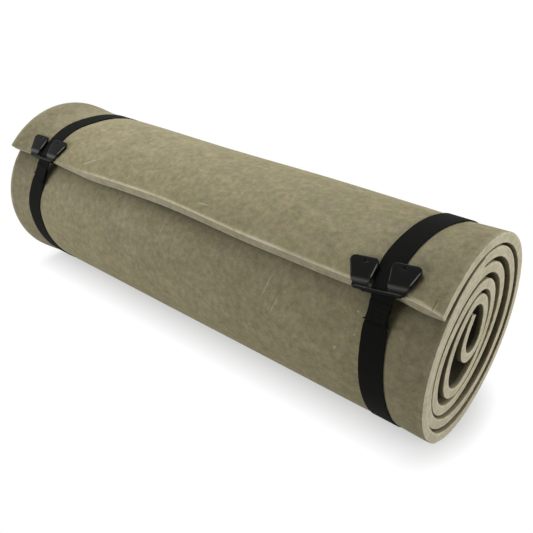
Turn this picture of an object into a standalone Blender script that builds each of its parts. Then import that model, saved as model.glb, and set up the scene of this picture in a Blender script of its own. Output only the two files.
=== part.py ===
# Rolled sleeping mat: one sheet of closed-cell foam wound on itself, held by two elastic straps.
# Each strap runs through a moulded clip with two wings, and its ends overlap and are sewn together.
# X runs along the roll, with the end that shows the winding at +X. Z is up and the floor is z = 0.
import math

import bmesh
import bpy
import numpy as np
from mathutils import Matrix, Vector
from mathutils.geometry import convex_hull_2d

# Driving dimensions in metres, angles in degrees

# The foam sheet and its winding
MAT_WIDTH = 0.600
FOAM = 0.010
ROLL_RADIUS = 0.1057
CORE_RADIUS = 0.0365
FLAP_ANGLE = 137.0
FLAP_CUT = 63.0
FLAP_GAP = 0.0022
FLAP_GAP_CLOSES = (360.0, 391.0)
CLOSED_GAP = 0.0006
WIND_STEP = 2.0
WOUND_TO = 1586.0
STATION = 0.0052

# Where the turns stand apart: opens at, shuts at (degrees wound in from the flap), widest gap
# as a share of the winding's slack, lean
CRESCENTS = (
    (396.0, 658.0, 0.475, 1.00),
    (754.0, 1021.0, 0.675, 0.86),
    (1046.0, 1251.0, 0.250, 1.00),
    (1266.0, 1376.0, 0.070, 1.00),
    (1311.0, 1561.0, 0.600, 0.82),
)
CRESCENT_POWER = 1.7

# The inner end leaves the winding and turns back: length, radius at its start, radius at its end,
# all in core radii
TAIL = (
    (0.22, 0.99, 0.60),
    (0.93, 0.55, 0.55),
    (0.66, 0.66, 0.71),
    (0.38, 0.71, 2.47),
    (0.49, 2.47, 5.48),
)
TAIL_STEPS = 60

# The flat that the roll's own weight presses
FLAT_DEPTH = 0.0005

# Elastic straps
STRAP_WIDTH = 0.025
STRAP_THICKNESS = 0.0012
STRAP_FROM_END = {"near": 0.0555, "far": 0.0640}
STRAP_CLEARANCE = 0.0003
OVERLAP_FROM = 0.0085
OVERLAP_TO = 0.0270
OVERLAP_RISE = 0.0045
RISE_CLEAR = 0.0006
STRAP_STEP = 0.0050
STRAP_STEP_FINE = 0.0012
UNDER_ZONE = 0.024
FINE_ZONE = 0.032

# Sewing thread, in two rows across each overlap
THREAD = 0.0005
THREAD_CLEARANCE = 0.0001
THREAD_HOLE = 0.0009
HOLE_REACH = 0.012
STITCH = 0.004
STITCH_COUNT = 5
STITCH_ROWS = {"upper": 0.0125, "lower": 0.0230}

# Moulded clips: the wings flare from a narrow foot by the bars to a wide top
CLIP_ANGLE = 131.0
CLIP_CLEARANCE = 0.0003
BAR_RADIUS = 0.0015
BAR_FROM_EDGE = 0.0040
FRONT_BAR_LENGTH = 0.0440
FRONT_BAR_LEAN = 136.0
FRONT_BAR_AWAY = 0.0054
SLOT_SIDE = 0.0010
WEB = 0.0028
WEB_HEIGHT = 0.0027
WING_WIDTH = 0.0265
WING_FOOT_WIDTH = 0.0123
WING_GAP = 0.0100
WING_FOOT_GAP = 0.0164
WING_FROM_BAR = 0.0030
WING_HEIGHT = 0.0235
WING_THICKNESS = 0.0026
WING_CORNER = 0.0042
WING_EDGE = 0.0008
SHARP_ANGLE = 50.0
LIP = 0.0040
NECK = 0.0014
NECK_INSET = 0.0010
DIMPLE_PLACE = 0.0170
DIMPLE_FROM_TOP = 0.0042
DIMPLE_RADIUS = 0.0012
DIMPLE_DEPTH = 0.0009

ROUND_SEGMENTS = 24

# How far a cutting tool runs past what it cuts
CUTTER_MARGIN = 0.0010


# Scene and materials

def clear_scene():
    for obj in list(bpy.data.objects):
        bpy.data.objects.remove(obj, do_unlink=True)


def new_collection(name):
    collection = bpy.data.collections.new(name)
    bpy.context.scene.collection.children.link(collection)
    return collection


def make_material(name, colour, roughness, metallic=0.0):
    material = bpy.data.materials.new(name)
    material.use_nodes = True
    shader = material.node_tree.nodes["Principled BSDF"]
    shader.inputs["Base Color"].default_value = (*colour, 1.0)
    shader.inputs["Roughness"].default_value = roughness
    shader.inputs["Metallic"].default_value = metallic
    material.diffuse_color = (*colour, 1.0)
    return material


# Plane curves: every outline below is an array of points (y, z) seen from +X, about the roll's axis

def direction(angle):
    return np.array([math.cos(math.radians(angle)), math.sin(math.radians(angle))])


def tangents(points):
    along = np.gradient(points, axis=0)
    return along / np.linalg.norm(along, axis=1, keepdims=True)


def left_of(vectors):
    return np.stack([-vectors[..., 1], vectors[..., 0]], axis=-1)


def arc_lengths(points):
    return np.concatenate([[0.0], np.cumsum(np.linalg.norm(np.diff(points, axis=0), axis=1))])


def at_lengths(points, wanted):
    along = arc_lengths(points)
    return np.stack([np.interp(wanted, along, points[:, k]) for k in (0, 1)], axis=-1)


def band_outline(points, half_width):
    """Outline of a band whose middle runs along the points, with square ends."""
    side = left_of(tangents(points)) * half_width
    return np.vstack([points + side, (points - side)[::-1]])


# The winding

def slack():
    """What the roll's radius holds beyond the core and the foam's own layers."""
    return ROLL_RADIUS - 0.5 * FOAM - CORE_RADIUS - FOAM * WOUND_TO / 360.0


def crescent(wound, opens, shuts, share, lean):
    """A gap that swells and dies away smoothly: widest * sin(pi * s**lean) ** power, s from 0 to 1."""
    s = min(max((wound - opens) / (shuts - opens), 0.0), 1.0)
    return share * slack() * math.sin(math.pi * s ** lean) ** CRESCENT_POWER


def gap_at(wound):
    """Gap between a turn and the one outside it, at so many degrees wound in from the flap."""
    first, last = FLAP_GAP_CLOSES
    s = min(max((last - wound) / (last - first), 0.0), 1.0)
    under_flap = (FLAP_GAP - CLOSED_GAP) * s * s * (3.0 - 2.0 * s)
    return CLOSED_GAP + under_flap + sum(crescent(wound, *form) for form in CRESCENTS)


def outer_turn_radius(wound):
    """Outer surface of the outermost turn: it falls by one foam and one gap in a full turn."""
    return ROLL_RADIUS - (FOAM + FLAP_GAP) * wound / 360.0


def wound_turns():
    """Middle line of the foam from the flap inwards: each turn is the one outside it,
    moved square to itself by the foam's thickness and the gap."""
    per_turn = round(360.0 / WIND_STEP)
    wound = np.arange(0.0, WOUND_TO + 0.5 * WIND_STEP, WIND_STEP)
    line = np.zeros((len(wound), 2))
    for i, angle in enumerate(wound):
        if i <= per_turn:
            line[i] = (outer_turn_radius(angle) - 0.5 * FOAM) * direction(FLAP_ANGLE - angle)
            continue
        outside = i - per_turn
        along = line[outside + 1] - line[outside - 1]
        inward = np.array([along[1], -along[0]]) / np.linalg.norm(along)
        line[i] = line[outside] + inward * (FOAM + gap_at(angle))
    return line


def with_tail(line):
    """Adds the inner end: its radius of bend changes evenly along each stretch."""
    along = line[-1] - line[-4]
    heading = math.atan2(along[1], along[0])
    points = [line[-1]]
    for length, radius_from, radius_to in TAIL:
        step = length * CORE_RADIUS / TAIL_STEPS
        for i in range(TAIL_STEPS):
            bend = 1.0 / radius_from + (1.0 / radius_to - 1.0 / radius_from) * (i + 0.5) / TAIL_STEPS
            heading -= bend / CORE_RADIUS * step
            points.append(points[-1] + step * np.array([math.cos(heading), math.sin(heading)]))
    return np.vstack([line, points[1:]])


def least_gap(line):
    """Smallest gap that the winding leaves to itself."""
    along = arc_lengths(line)
    nearest = 1.0
    for i in range(len(line)):
        far = np.abs(along - along[i]) > 4.0 * FOAM
        nearest = min(nearest, np.linalg.norm(line[far] - line[i], axis=1).min())
    return nearest - FOAM


def foam_section():
    """Closed outline of the wound sheet, and the part of it that faces outwards."""
    dense = with_tail(wound_turns())
    total = arc_lengths(dense)[-1]
    count = round(total / STATION)
    line = at_lengths(dense, np.linspace(0.0, total, count + 1))
    print("mat length %.0f mm" % (total * 1000.0))
    measured = at_lengths(dense, np.arange(0.0, total, 0.1 * FOAM))
    print("least gap between turns %.2f mm" % (least_gap(measured) * 1000.0))
    side = left_of(tangents(line)) * 0.5 * FOAM
    outer = line + side
    inner = line - side
    # the cut at the flap leans: its inner edge reaches past its outer edge
    reach = math.degrees(FOAM / math.tan(math.radians(FLAP_CUT)) / (ROLL_RADIUS - FOAM))
    lip = [(outer_turn_radius(-turned) - FOAM) * direction(FLAP_ANGLE + turned)
           for turned in np.linspace(reach, 0.0, 4)]
    outer[0] = outer_turn_radius(0.0) * direction(FLAP_ANGLE)
    outline = np.vstack([outer, inner[:0:-1], np.array(lip)[::-1]])
    floor = outline[:, 1].min() + FLAT_DEPTH
    outline[:, 1] = np.maximum(outline[:, 1], floor)
    return outline, floor


# The clip's bars, which the strap's path has to pass

def flap_corner():
    return ROLL_RADIUS * direction(FLAP_ANGLE)


def cut_direction():
    """Down the flap's cut face, from its outer edge."""
    return direction(FLAP_ANGLE + 90.0 + FLAP_CUT)


def rear_bar_centre():
    """The bar behind the strap lies on the flap's cut face."""
    away = left_of(cut_direction()) * -1.0
    return flap_corner() + cut_direction() * BAR_FROM_EDGE + away * (BAR_RADIUS + CLIP_CLEARANCE)


def hull_path(outline):
    """Middle line of a band pulled tight round the roll and the rear bar, from the flap's
    corner on and back to it, anticlockwise."""
    ring = rear_bar_centre() + BAR_RADIUS * np.array([direction(a) for a in range(0, 360, 10)])
    cloud = np.vstack([outline, ring])
    hull = cloud[convex_hull_2d([Vector(p) for p in cloud])]
    away = STRAP_CLEARANCE + 0.5 * STRAP_THICKNESS
    # the furthest hull point in each direction, moved out along that direction
    turned = np.arange(FLAP_ANGLE - 8.0, FLAP_ANGLE + 352.0, 1.0)
    normals = np.array([direction(a) for a in turned])
    path = hull[(hull @ normals.T).argmax(axis=0)] + away * normals
    path = np.vstack([path, path[:1]])
    start = np.linalg.norm(path - flap_corner(), axis=1).argmin()
    path = np.vstack([path[start:-1], path[:start + 1]])
    keep = np.concatenate([[True], np.linalg.norm(np.diff(path, axis=0), axis=1) > 1e-7])
    return path[keep]


def strap_line(outline):
    """Middle line of one strap: it starts beside the clip, goes once round, passes the clip
    and rises over its own start. Also returns the frame of the flat stretch below the clip."""
    path = hull_path(outline)
    around = arc_lengths(path)[-1]
    twice = np.vstack([path, path[1:]])
    along = arc_lengths(twice)
    bar = along[np.linalg.norm(twice[:len(path)] - rear_bar_centre(), axis=1).argmin()]
    start = bar + OVERLAP_FROM
    end = bar + around + OVERLAP_TO
    fine_from = bar + around - FINE_ZONE
    wanted = np.concatenate([
        np.linspace(start, start + UNDER_ZONE, 5, endpoint=False),
        np.linspace(start + UNDER_ZONE, fine_from, round((fine_from - start - UNDER_ZONE) / STRAP_STEP),
                    endpoint=False),
        np.linspace(fine_from, end, round((end - fine_from) / STRAP_STEP_FINE) + 1),
    ])
    line = at_lengths(twice, wanted)
    normal = -left_of(tangents(line))
    past_bar = wanted - bar - around
    begin = OVERLAP_FROM - OVERLAP_RISE
    s = np.clip((past_bar - begin) / (OVERLAP_FROM - RISE_CLEAR - begin), 0.0, 1.0)
    rise = (STRAP_THICKNESS + STRAP_CLEARANCE) * s * s * (3.0 - 2.0 * s)
    flat_at = at_lengths(twice, [bar, bar + STITCH_ROWS["upper"], bar + STITCH_ROWS["lower"]])
    down = flat_at[2] - flat_at[1]
    down = down / np.linalg.norm(down)
    return line + normal * rise[:, None], flat_at, down


# Solids from outlines and simple shapes

def mesh_of(curve_object, name):
    depsgraph = bpy.context.evaluated_depsgraph_get()
    mesh = bpy.data.meshes.new_from_object(curve_object.evaluated_get(depsgraph))
    bpy.data.objects.remove(curve_object, do_unlink=True)
    mesh.name = name
    weld = bmesh.new()
    weld.from_mesh(mesh)
    bmesh.ops.remove_doubles(weld, verts=weld.verts, dist=1e-6)
    bmesh.ops.recalc_face_normals(weld, faces=weld.faces)
    weld.to_mesh(mesh)
    weld.free()
    return mesh


def extruded(name, outline, depth, collection, frame):
    """Solid with the given outline in the frame's first two axes, centred along its third."""
    curve = bpy.data.curves.new(name, "CURVE")
    curve.dimensions = "2D"
    curve.fill_mode = "BOTH"
    curve.extrude = 0.5 * depth
    spline = curve.splines.new("POLY")
    spline.points.add(len(outline) - 1)
    for point, (a, b) in zip(spline.points, outline):
        point.co = (a, b, 0.0, 1.0)
    spline.use_cyclic_u = True
    holder = bpy.data.objects.new(name, curve)
    bpy.context.scene.collection.objects.link(holder)
    bpy.context.view_layer.update()
    mesh = mesh_of(holder, name)
    mesh.transform(frame)
    obj = bpy.data.objects.new(name, mesh)
    collection.objects.link(obj)
    return obj


def frame_matrix(first, second, third, origin):
    matrix = Matrix.Identity(4)
    for column, axis in enumerate((first, second, third, origin)):
        for row in range(3):
            matrix[row][column] = axis[row]
    return matrix


def cylinder(name, radius, length, collection, frame):
    """Cylinder along the frame's first axis."""
    mesh = bpy.data.meshes.new(name)
    shape = bmesh.new()
    bmesh.ops.create_cone(shape, cap_ends=True, segments=ROUND_SEGMENTS, radius1=radius, radius2=radius,
                          depth=length, matrix=Matrix.Rotation(math.radians(90.0), 4, "Y"))
    shape.to_mesh(mesh)
    shape.free()
    mesh.transform(frame)
    obj = bpy.data.objects.new(name, mesh)
    collection.objects.link(obj)
    return obj


def box(name, size, collection, frame):
    mesh = bpy.data.meshes.new(name)
    shape = bmesh.new()
    bmesh.ops.create_cube(shape, size=1.0, matrix=Matrix.Diagonal((*size, 1.0)))
    shape.to_mesh(mesh)
    shape.free()
    mesh.transform(frame)
    obj = bpy.data.objects.new(name, mesh)
    collection.objects.link(obj)
    return obj


def boolean(target, tool, operation):
    modifier = target.modifiers.new(operation.title(), "BOOLEAN")
    modifier.operation = operation
    modifier.solver = "EXACT"
    modifier.object = tool
    return modifier


def apply_modifiers(obj):
    depsgraph = bpy.context.evaluated_depsgraph_get()
    mesh = bpy.data.meshes.new_from_object(obj.evaluated_get(depsgraph))
    obj.modifiers.clear()
    obj.data = mesh


def as_cutter(obj):
    obj.hide_render = True
    obj.display_type = "WIRE"


def finish(obj, material, smooth_angle=None):
    obj.data.materials.clear()
    obj.data.materials.append(material)
    if smooth_angle is None:
        return
    obj.data.shade_smooth()
    obj.data.set_sharp_from_angle(angle=math.radians(smooth_angle))


# Pieces

def rounded_polygon(corners, radius):
    """Outline of a convex polygon, given anticlockwise, with an arc at each corner."""
    corners = np.array(corners)
    sides = np.roll(corners, -1, axis=0) - corners
    normals = -left_of(sides / np.linalg.norm(sides, axis=1, keepdims=True))
    points = []
    for i, corner in enumerate(corners):
        before, after = normals[i - 1], normals[i]
        centre = corner - radius * (before + after) / (1.0 + before @ after)
        first = math.degrees(math.atan2(before[1], before[0]))
        turn = math.degrees(math.acos(before @ after))
        points += [centre + radius * direction(first + a) for a in np.linspace(0.0, turn, 7)]
    return np.array(points)


def section_frame(x, axis):
    """Outlines seen from +X, at a place along the roll, about the roll's axis (y, z)."""
    return frame_matrix((0, 1, 0), (0, 0, 1), (1, 0, 0), (x, *axis))


def build_thread(name, x, axis, centre, down, collection):
    """One row of lock stitch: the thread runs on the outer face, drops through both layers
    and runs on the inner face, in turn."""
    outward = -left_of(down)
    inner_run = -0.5 * STRAP_THICKNESS - THREAD_CLEARANCE - 0.5 * THREAD
    outer_run = 1.5 * STRAP_THICKNESS + STRAP_CLEARANCE + THREAD_CLEARANCE + 0.5 * THREAD
    at = -0.5 * STITCH * STITCH_COUNT
    level = outer_run
    path = [(at, level)]
    for _ in range(STITCH_COUNT):
        at += STITCH
        path.append((at, level))
        level = inner_run + outer_run - level
        path.append((at, level))
    path.pop()
    frame = frame_matrix((1, 0, 0), (0, *outward), (0, *down), (x, *(centre + axis)))
    return extruded(name, square_band(path, 0.5 * THREAD), THREAD, collection, frame), frame


def square_band(path, half_width):
    """Outline of a band of even width along a path of square corners."""
    path = np.array(path)
    steps = np.sign(np.round(np.diff(path, axis=0), 9))
    before = np.vstack([steps[:1], steps])
    after = np.vstack([steps, steps[-1:]])
    side = np.stack([-(before[:, 1] + after[:, 1]), before[:, 0] + after[:, 0]], axis=-1)
    side[0] = (-steps[0, 1], steps[0, 0])
    side[-1] = (-steps[-1, 1], steps[-1, 0])
    side = np.sign(side) * half_width
    return np.vstack([path - side, (path + side)[::-1]])


def build_strap(key, x, axis, band, collection, cutters, materials):
    line, flat_at, down = band
    strap = extruded(key + "_strap", band_outline(line, 0.5 * STRAP_THICKNESS), STRAP_WIDTH,
                     collection, section_frame(x, axis))
    threads = []
    for row, centre in zip(("upper", "lower"), flat_at[1:]):
        thread, frame = build_thread("%s_stitch_%s" % (key, row), x, axis, centre, down, collection)
        finish(thread, materials["thread"])
        threads.append(thread)
        for i in range(STITCH_COUNT + 1):
            at = (i - 0.5 * STITCH_COUNT) * STITCH
            hole = box("%s_stitch_hole_%s_%d" % (key, row, i), (THREAD_HOLE, HOLE_REACH, THREAD_HOLE),
                       cutters, frame @ Matrix.Translation((at, 0.0, 0.0)))
            as_cutter(hole)
            boolean(strap, hole, "DIFFERENCE")
    apply_modifiers(strap)
    finish(strap, materials["elastic"], 30.0)
    return [strap] + threads


def wing_levels():
    """How far a wing's two faces stand out from the rear bar: it lies on the strap over the flap."""
    strap_face = ROLL_RADIUS + STRAP_CLEARANCE + STRAP_THICKNESS + CLIP_CLEARANCE
    under = strap_face - float(rear_bar_centre() @ direction(CLIP_ANGLE))
    return under, under + WING_THICKNESS


def wing_profile():
    """Side view of a wing about the rear bar: a plate whose lower edge rolls over in a quarter ellipse."""
    under, top = wing_levels()
    foot = WING_FROM_BAR
    end = WING_FROM_BAR + WING_HEIGHT + CUTTER_MARGIN
    turn = np.radians(np.arange(0.0, 91.0, 15.0))
    lip = np.stack([foot + LIP * (1.0 - np.sin(turn)), under + (top - under) * np.cos(turn)], axis=-1)
    return np.vstack([(end, top), lip, (end, under)])


def wing_plan(sign):
    """Front view of the wing on one side: a foot near the middle that flares to a wide top."""
    foot = WING_FROM_BAR - CUTTER_MARGIN
    top = WING_FROM_BAR + WING_HEIGHT
    inner_foot = 0.5 * WING_FOOT_GAP
    inner_top = 0.5 * WING_GAP
    outer_foot = inner_foot + WING_FOOT_WIDTH
    outer_top = inner_top + WING_WIDTH
    corners = [(inner_foot, foot), (outer_foot, foot), (outer_top, top), (inner_top, top)]
    if sign < 0.0:
        corners = [(-x, y) for x, y in reversed(corners)]
    return rounded_polygon(corners, WING_CORNER)


def build_wing(name, sign, cutters):
    """One wing, in the clip's own frame: X along the bars, Y up the flap, Z away from it."""
    side_view = frame_matrix((0, 1, 0), (0, 0, 1), (1, 0, 0), (0, 0, 0))
    under, top = wing_levels()
    plan_outline = wing_plan(sign)
    middle = 0.5 * (plan_outline[:, 0].min() + plan_outline[:, 0].max())
    wing = extruded(name, wing_profile(), np.ptp(plan_outline[:, 0]) + 2.0 * CUTTER_MARGIN, cutters,
                    Matrix.Translation((middle, 0, 0)) @ side_view)
    plan_depth = 2.0 * (WING_THICKNESS + CUTTER_MARGIN)
    plan = extruded(name + "_plan", plan_outline, plan_depth, cutters, Matrix.Translation((0, 0, top)))
    boolean(wing, plan, "INTERSECT")
    apply_modifiers(wing)
    edge = wing.modifiers.new("Edge", "BEVEL")
    edge.width = WING_EDGE
    edge.segments = 2
    edge.limit_method = "ANGLE"
    edge.angle_limit = math.radians(SHARP_ANGLE)
    apply_modifiers(wing)
    lies_along = Matrix.Rotation(math.radians(90.0), 4, "Y")
    dimple = cylinder(name + "_dimple", DIMPLE_RADIUS, 2.0 * DIMPLE_DEPTH, cutters, Matrix.Translation(
        (sign * DIMPLE_PLACE, WING_FROM_BAR + WING_HEIGHT - DIMPLE_FROM_TOP, top)) @ lies_along)
    boolean(wing, dimple, "DIFFERENCE")
    apply_modifiers(wing)
    for tool in (plan, dimple):
        as_cutter(tool)
    return wing


def strut(name, start, end, thickness, width, x, collection):
    """Flat strut between two points of the clip's side view."""
    side_view = frame_matrix((0, 1, 0), (0, 0, 1), (1, 0, 0), (0, 0, 0))
    outline = band_outline(np.array([start, end]), 0.5 * thickness)
    return extruded(name, outline[::-1], width, collection, Matrix.Translation((x, 0, 0)) @ side_view)


def build_clip(key, x, axis, collection, cutters, material):
    """Two wings that lie on the flap, a bar in front of the strap and one behind it. Webs beside
    the strap join the bars, and a neck joins each wing to the front bar."""
    outward = direction(CLIP_ANGLE)
    upward = -left_of(outward)
    centre = rear_bar_centre()
    place = frame_matrix((1, 0, 0), (0, *upward), (0, *outward), (x, *(centre + axis)))
    under, top = wing_levels()
    lean = direction(FRONT_BAR_LEAN)
    front = FRONT_BAR_AWAY * np.array([lean @ upward, lean @ outward])
    wing_root = (WING_FROM_BAR + LIP, 0.5 * (under + top))
    rear_length = STRAP_WIDTH + 2.0 * (SLOT_SIDE + WEB)
    clip = cylinder(key + "_clip", BAR_RADIUS, rear_length, collection, Matrix.Identity(4))
    front_place = Matrix.Translation((0.0, *front))
    tools = [cylinder(key + "_front_bar", BAR_RADIUS, FRONT_BAR_LENGTH, cutters, front_place)]
    neck_width = WING_FOOT_WIDTH - 2.0 * NECK_INSET
    for side, sign in (("left", -1.0), ("right", 1.0)):
        name = "%s_%s" % (key, side)
        web_x = sign * (0.5 * STRAP_WIDTH + SLOT_SIDE + 0.5 * WEB)
        neck_x = sign * 0.5 * (WING_FOOT_GAP + WING_FOOT_WIDTH)
        tools.append(strut(name + "_web", (0.0, 0.0), front, WEB_HEIGHT, WEB, web_x, cutters))
        tools.append(strut(name + "_neck", front, wing_root, NECK, neck_width, neck_x, cutters))
        tools.append(build_wing(name + "_wing", sign, cutters))
    for tool in tools:
        as_cutter(tool)
        boolean(clip, tool, "UNION")
    apply_modifiers(clip)
    clip.data.transform(place)
    finish(clip, material, 35.0)
    return clip


def put_origin(obj, point):
    """Moves the object's origin to a point and leaves its shape where it is."""
    obj.data.transform(Matrix.Translation(-Vector(point)))
    obj.location = point


def main():
    clear_scene()
    parts = new_collection("rolled_sleeping_mat")
    cutters = new_collection("cutters")
    materials = {
        "foam": make_material("olive_foam", (0.262, 0.236, 0.138), 0.85),
        "elastic": make_material("black_elastic", (0.012, 0.012, 0.013), 0.80),
        "thread": make_material("black_thread", (0.020, 0.020, 0.022), 0.60),
        "plastic": make_material("black_plastic", (0.010, 0.010, 0.011), 0.32),
    }
    outline, floor = foam_section()
    band = strap_line(outline)
    edges = band_outline(band[0], 0.5 * STRAP_THICKNESS)
    # the roll's axis stands where the whole part is centred on y = 0 and rests on z = 0
    middle = 0.5 * (edges[:, 0].min() + edges[:, 0].max())
    axis = np.array([-middle, STRAP_CLEARANCE + STRAP_THICKNESS - floor])
    mat = extruded("foam_mat", outline, MAT_WIDTH, parts, section_frame(0.0, axis))
    finish(mat, materials["foam"], 30.0)
    bar = rear_bar_centre()
    places = {key: 0.5 * MAT_WIDTH - from_end for key, from_end in STRAP_FROM_END.items()}
    places["far"] *= -1.0
    for key, x in places.items():
        strap, *threads = build_strap(key, x, axis, band, parts, cutters, materials)
        clip = build_clip(key, x, axis, parts, cutters, materials["plastic"])
        axis_point = (x, *(bar + axis))
        print("%s clip turns about (%.5f, %.5f, %.5f)" % (key, *axis_point))
        put_origin(strap, (x, *axis))
        put_origin(clip, axis_point)
        bpy.context.view_layer.update()
        for child in threads + [clip]:
            child.parent = strap
            child.matrix_parent_inverse = strap.matrix_world.inverted()
    print("roll axis at y %.5f, z %.5f" % tuple(axis))
    bpy.context.view_layer.update()


main()
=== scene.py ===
# Looks of the rolled sleeping mat: the foam, its two elastic straps and their clips, a floor and soft light.
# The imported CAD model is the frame. Lengths are in metres and angles in degrees.
import math

import bmesh
import bpy
import numpy as np
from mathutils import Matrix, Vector


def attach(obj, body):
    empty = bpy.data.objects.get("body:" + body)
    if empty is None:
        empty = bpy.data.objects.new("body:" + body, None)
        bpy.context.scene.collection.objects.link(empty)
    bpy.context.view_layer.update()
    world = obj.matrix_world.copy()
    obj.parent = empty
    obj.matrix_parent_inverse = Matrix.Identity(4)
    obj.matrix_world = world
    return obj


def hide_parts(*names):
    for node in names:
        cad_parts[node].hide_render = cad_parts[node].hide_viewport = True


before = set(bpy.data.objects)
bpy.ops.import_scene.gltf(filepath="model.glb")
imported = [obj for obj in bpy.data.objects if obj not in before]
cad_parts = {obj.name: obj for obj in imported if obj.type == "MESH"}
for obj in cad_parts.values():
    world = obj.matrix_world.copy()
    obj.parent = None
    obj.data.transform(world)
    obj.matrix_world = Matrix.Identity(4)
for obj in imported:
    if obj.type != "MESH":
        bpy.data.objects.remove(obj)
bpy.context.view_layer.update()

# The winding, as the CAD part has it

MAT_WIDTH = 0.600
FOAM = 0.010
ROLL_RADIUS = 0.1057
CORE_RADIUS = 0.0365
ROLL_AXIS = np.array([-0.00306, 0.09899])
FLAP_ANGLE = 137.0
FLAP_CUT = 63.0
FLAP_GAP = 0.0022
FLAP_GAP_CLOSES = (360.0, 391.0)
CLOSED_GAP = 0.0006
WIND_STEP = 2.0
WOUND_TO = 1586.0

# Where turns stand apart: degrees wound in where it opens and shuts, share of the slack, lean

CRESCENTS = (
    (396.0, 658.0, 0.475, 1.00),
    (754.0, 1021.0, 0.675, 0.86),
    (1046.0, 1251.0, 0.250, 1.00),
    (1266.0, 1376.0, 0.070, 1.00),
    (1311.0, 1561.0, 0.600, 0.82),
)
CRESCENT_POWER = 1.7

# The inner end curls tighter and then straightens: length, first and last radius, all in core radii

TAIL = (
    (0.22, 0.99, 0.60),
    (0.93, 0.55, 0.55),
    (0.66, 0.66, 0.71),
    (0.38, 0.71, 2.47),
    (0.49, 2.47, 5.48),
)
TAIL_STEPS = 60

# The winding's line starts this many steps before the flap's even cut, as the real cut wavers past it

STEPS_BEFORE_CUT = 8

# The straps and clips, as the CAD part has them but for the overlap, the stitches and the wings

STRAP_THICKNESS = 0.0012
STRAP_CLEARANCE = 0.0003
OVERLAP_FROM = 0.0085
OVERLAP_TO = 0.0240
OVERLAP_RISE = 0.0045
RISE_CLEAR = 0.0006
THREAD = 0.0005
STITCH = 0.0033
STITCH_COUNT = 5
STITCH_ROWS = {"upper": 0.0120, "lower": 0.0205}
CLIP_ANGLE = 131.0
CLIP_CLEARANCE = 0.0003
BAR_RADIUS = 0.0015
BAR_FROM_EDGE = 0.0040
REAR_BAR_LENGTH = 0.0326
FRONT_BAR_LENGTH = 0.0440
FRONT_BAR_LEAN = 136.0
FRONT_BAR_AWAY = 0.0054
WEB_PLACE = 0.0149
WEB = 0.0028
WEB_HEIGHT = 0.0027
NECK = 0.0014
NECK_INSET = 0.0010
WING_WIDTH = 0.0290
WING_FOOT_WIDTH = 0.0165
WING_GAP = 0.0098
WING_FOOT_GAP = 0.0158
WING_FROM_BAR = 0.0030
WING_HEIGHT = 0.0240
WING_THICKNESS = 0.0026
WING_CORNER = 0.0048
WING_EDGE = 0.0009
WING_CROWN = 0.0002
FOOT_OVERLAP = 0.0004
LIP = 0.0042
LIP_LEFT = 0.30
DIMPLE_PLACE = 0.0170
DIMPLE_FROM_TOP = 0.0042
DIMPLE_RADIUS = 0.0012
DIMPLE_DEPTH = 0.0017

# How the flap's cut end wavers: place along the roll, angle of its upper edge, angle of its lower edge

FLAP_EDGE = np.array([
    (-0.300, 138.6, 139.0),
    (-0.230, 137.8, 138.4),
    (-0.190, 138.0, 139.4),
    (-0.155, 137.1, 140.1),
    (-0.085, 135.3, 138.6),
    (-0.020, 134.6, 137.9),
    (0.030, 135.6, 138.6),
    (0.085, 136.7, 139.8),
    (0.150, 137.1, 140.2),
    (0.215, 137.3, 140.1),
    (0.260, 136.6, 138.5),
    (0.282, 137.2, 139.8),
    (0.300, 138.9, 139.7),
])

# Where each strap's middle lies along the roll, by angle round it: askew, as the photograph shows, and a
# guess behind

STRAP_WANDER = {
    "near": np.array([(78.0, 0.2503), (94.0, 0.2456), (105.0, 0.2429), (115.0, 0.2408), (122.6, 0.2399),
                      (139.5, 0.2443), (155.0, 0.2445), (173.0, 0.2478), (186.0, 0.2503), (205.0, 0.2540),
                      (270.0, 0.2560), (360.0, 0.2545), (438.0, 0.2503)]),
    "far": np.array([(78.0, -0.2160), (94.0, -0.2200), (111.0, -0.2292), (122.0, -0.2312), (139.5, -0.2325),
                     (149.0, -0.2370), (155.5, -0.2420), (162.6, -0.2460), (173.5, -0.2490), (190.0, -0.2480),
                     (270.0, -0.2400), (360.0, -0.2270), (438.0, -0.2160)]),
}

# How wide a strap is, by length past the clip's rear bar: it draws in where it is sewn double

STRAP_SPREAD = np.array([
    (-0.200, 0.0240), (-0.110, 0.0223), (-0.060, 0.0206), (-0.030, 0.0210), (0.000, 0.0208), (0.009, 0.0190),
    (0.020, 0.0192), (0.029, 0.0222), (0.045, 0.0232), (0.070, 0.0240), (0.200, 0.0240),
])

# Each clip: its middle along the roll, and how far it leans with its strap

CLIP_SET = {"near": (0.2394, 8.4), "far": (-0.2350, 1.7)}

# How the real foam departs from an even roll: it swells between the straps, flares at the ends, whose
# inner turns stand further in, and lifts at the flap's corners

FOAM_SWELL = 0.0011
SQUEEZE_WIDTH = 0.016
FAR_FLARE = 0.0040
FAR_FLARE_SPAN = (0.250, 0.302)
NEAR_FLARE = 0.0006
NEAR_FLARE_SPAN = (0.262, 0.302)
END_DISH = 0.060
FAR_DISH_SHARE = 0.6
TURN_STAGGER = 0.0010
STAGGER_WITHIN = 0.092
FLAP_DRAWN_BACK = 0.0022
TURN_STANDS_OUT = 0.0010
CORNER_LIFT = 0.0016
RIPPLE = 0.0005
LOWEST = 0.0002


# Arrays of points and directions in the plane of the roll's section, seen from +X

def direction(angle):
    turned = np.radians(np.asarray(angle, dtype=float))
    return np.stack([np.cos(turned), np.sin(turned)], axis=-1)


def left_of(vectors):
    return np.stack([-vectors[..., 1], vectors[..., 0]], axis=-1)


def unit(vectors):
    return vectors / np.linalg.norm(vectors, axis=-1, keepdims=True)


def tangents(points):
    return unit(np.gradient(points, axis=0))


def arc_lengths(points):
    return np.concatenate([[0.0], np.cumsum(np.linalg.norm(np.diff(points, axis=0), axis=1))])


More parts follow.
